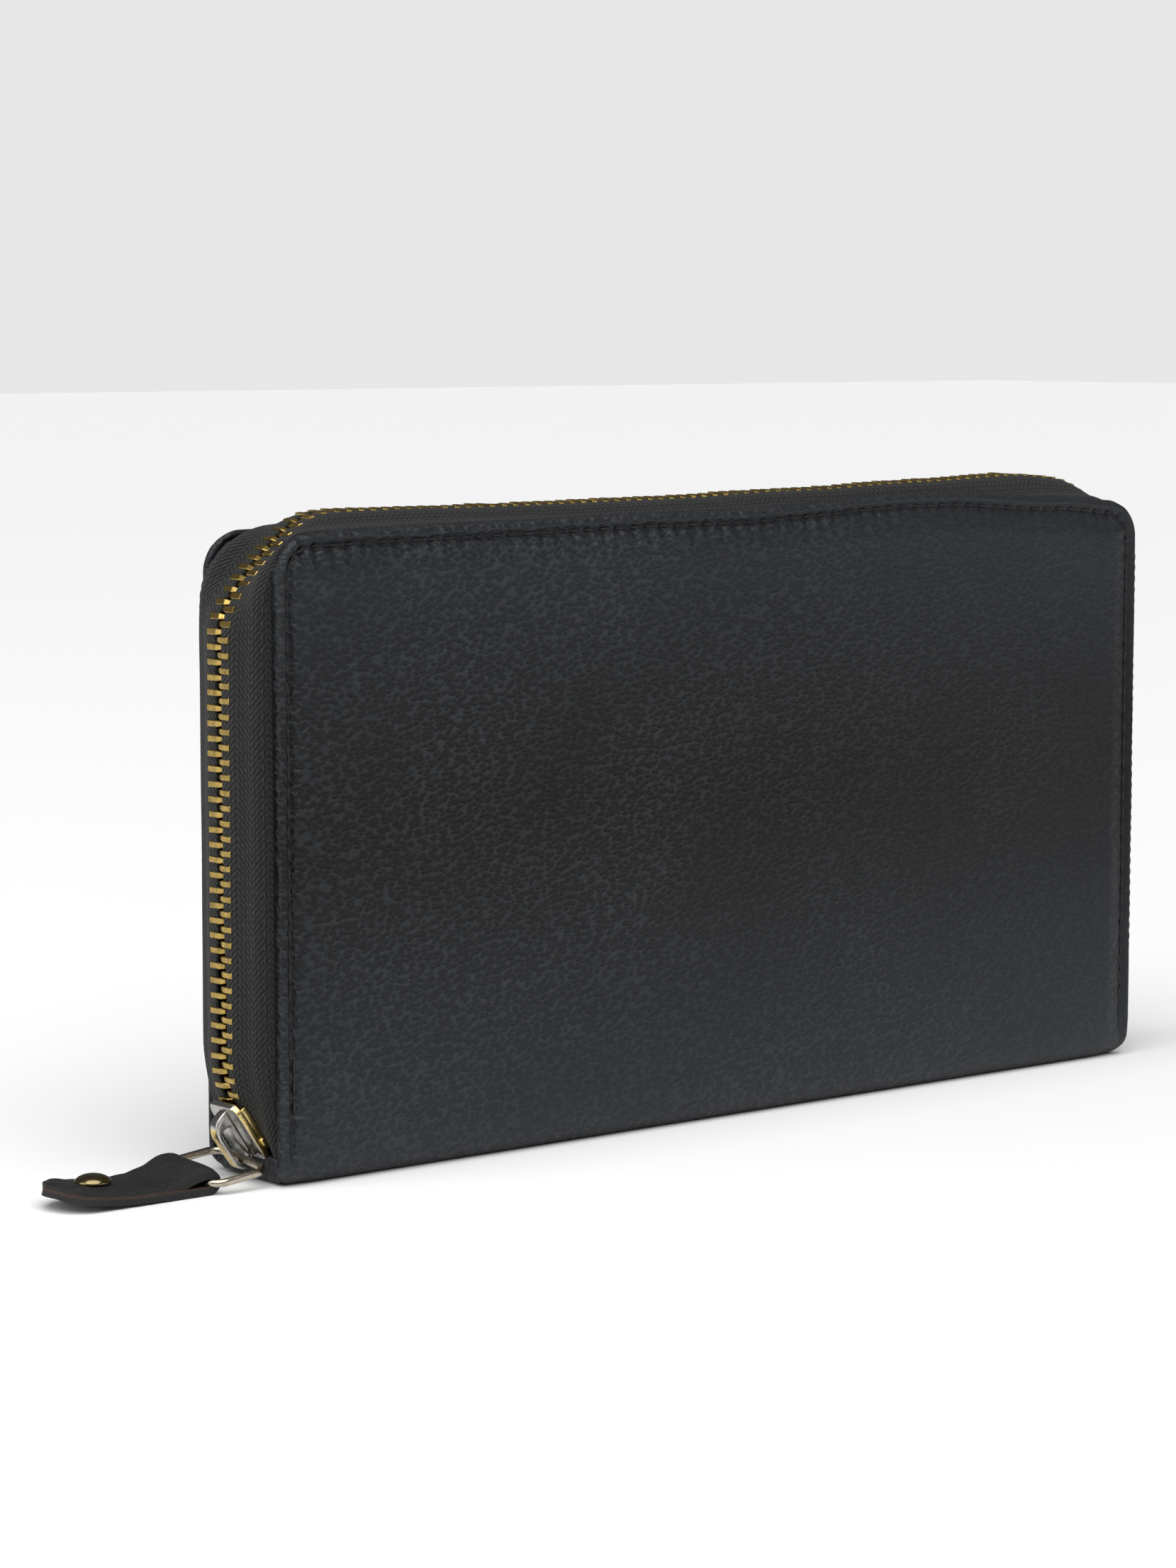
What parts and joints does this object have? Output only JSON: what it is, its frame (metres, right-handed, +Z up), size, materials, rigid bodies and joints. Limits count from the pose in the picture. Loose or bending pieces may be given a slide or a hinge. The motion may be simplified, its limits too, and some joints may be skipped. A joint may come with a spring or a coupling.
{
  "type": "zip around wallet",
  "caption": "Long black leather wallet standing on its spine, closed on three sides by a brass zip with a riveted leather pull; card slots, note pockets and a coin pocket inside.",
  "frame": {"origin": "middle of the spine's flat underside, on which the wallet stands", "axes": "+X along the wallet away from the zip slider, +Y through its thickness from the front cover to the back cover, +Z up from the spine to the zip along the top"},
  "size_m": [0.2421, 0.022, 0.1111],
  "materials": {
    "leather": "black pebble grain, soft sheen",
    "edge_leather": "black, smooth",
    "pull_leather": "black, raw brown cut edges",
    "lining": "plain woven black",
    "board": "plain",
    "zip_tape": "charcoal herringbone tape",
    "brass": "antique brass",
    "slider_metal": "polished nickel with brass-coloured edges"
  },
  "bodies": {
    "spine": {"spine_leather": "leather", "spine_lining": "lining", "coin_pocket_front": "lining", "coin_pocket_back": "lining", "coin_pocket_binding": "edge_leather", "coin_tape_lower": "zip_tape", "coin_tape_upper": "zip_tape", "coin_teeth_lower": "brass", "coin_teeth_upper": "brass", "front_gusset_left": "lining", "front_zip_tape_end_left": "zip_tape", "front_zip_teeth_end_left": "brass", "front_gusset_right": "lining", "front_zip_tape_end_right": "zip_tape", "front_zip_teeth_end_right": "brass", "back_gusset_left": "lining", "back_zip_tape_end_left": "zip_tape", "back_zip_teeth_end_left": "brass", "back_gusset_right": "lining", "back_zip_tape_end_right": "zip_tape", "back_zip_teeth_end_right": "brass", "front_top_stop": "brass", "back_top_stop": "brass", "bottom_stop": "brass"},
    "front_cover": {"front_cover_leather": "leather", "front_cover_board": "board", "front_cover_lining": "lining", "front_card_slot_1": "edge_leather", "front_card_slot_2": "edge_leather", "front_card_slot_3": "edge_leather", "front_card_slot_4": "edge_leather", "front_zip_tape": "zip_tape", "front_zip_teeth": "brass"},
    "back_cover": {"back_cover_leather": "leather", "back_cover_board": "board", "back_cover_lining": "lining", "back_card_slot_1": "edge_leather", "back_card_slot_2": "edge_leather", "back_card_slot_3": "edge_leather", "back_card_slot_4": "edge_leather", "back_zip_tape": "zip_tape", "back_zip_teeth": "brass"},
    "slider": {"slider_body": "slider_metal", "slider_bridge": "slider_metal"},
    "pull_ring": {"pull_ring": "slider_metal"},
    "pull_strap": {"pull_strap": "pull_leather", "rivet_cap": "brass", "rivet_back": "brass"},
    "coin_slider": {"coin_slider": "brass"},
    "coin_pull": {"coin_pull": "brass"}
  },
  "joints": [
    {"name": "front_cover_fold", "type": "hinge", "parent": "spine", "child": "front_cover", "pos_m": [0, -0.011, 0.005], "axis": [1, 0, 0], "range_deg": [0, 40], "deforming": ["front_gusset_left", "front_zip_tape_end_left", "front_zip_teeth_end_left", "front_gusset_right", "front_zip_tape_end_right", "front_zip_teeth_end_right"]},
    {"name": "back_cover_fold", "type": "hinge", "parent": "spine", "child": "back_cover", "pos_m": [0, 0.011, 0.005], "axis": [-1, 0, 0], "range_deg": [0, 40], "deforming": ["back_gusset_left", "back_zip_tape_end_left", "back_zip_teeth_end_left", "back_gusset_right", "back_zip_tape_end_right", "back_zip_teeth_end_right"]},
    {"name": "slider_run", "type": "hinge", "parent": "spine", "child": "slider", "pos_m": [-0.0784, 0, 0.02351], "axis": [0, 1, 0], "range_deg": [0, 33], "deforming": ["front_zip_tape_end_left", "front_zip_teeth_end_left", "back_zip_tape_end_left", "back_zip_teeth_end_left"]},
    {"name": "ring_swing", "type": "hinge", "parent": "slider", "child": "pull_ring", "pos_m": [-0.1005, 0, 0.00374], "axis": [0, 1, 0], "range_deg": [-80, 25]},
    {"name": "strap_swing", "type": "hinge", "parent": "pull_ring", "child": "pull_strap", "pos_m": [-0.11128, 0, 0.00305], "axis": [0, 1, 0], "range_deg": [-60, 40]},
    {"name": "coin_slider_run", "type": "slide", "parent": "spine", "child": "coin_slider", "axis": [1, 0, 0], "range_m": [0, 0.145]},
    {"name": "coin_pull_swing", "type": "hinge", "parent": "coin_slider", "child": "coin_pull", "pos_m": [-0.0744, -0.0034, 0.0921], "axis": [0, 0, -1], "range_deg": [0, 10]}
  ]
}
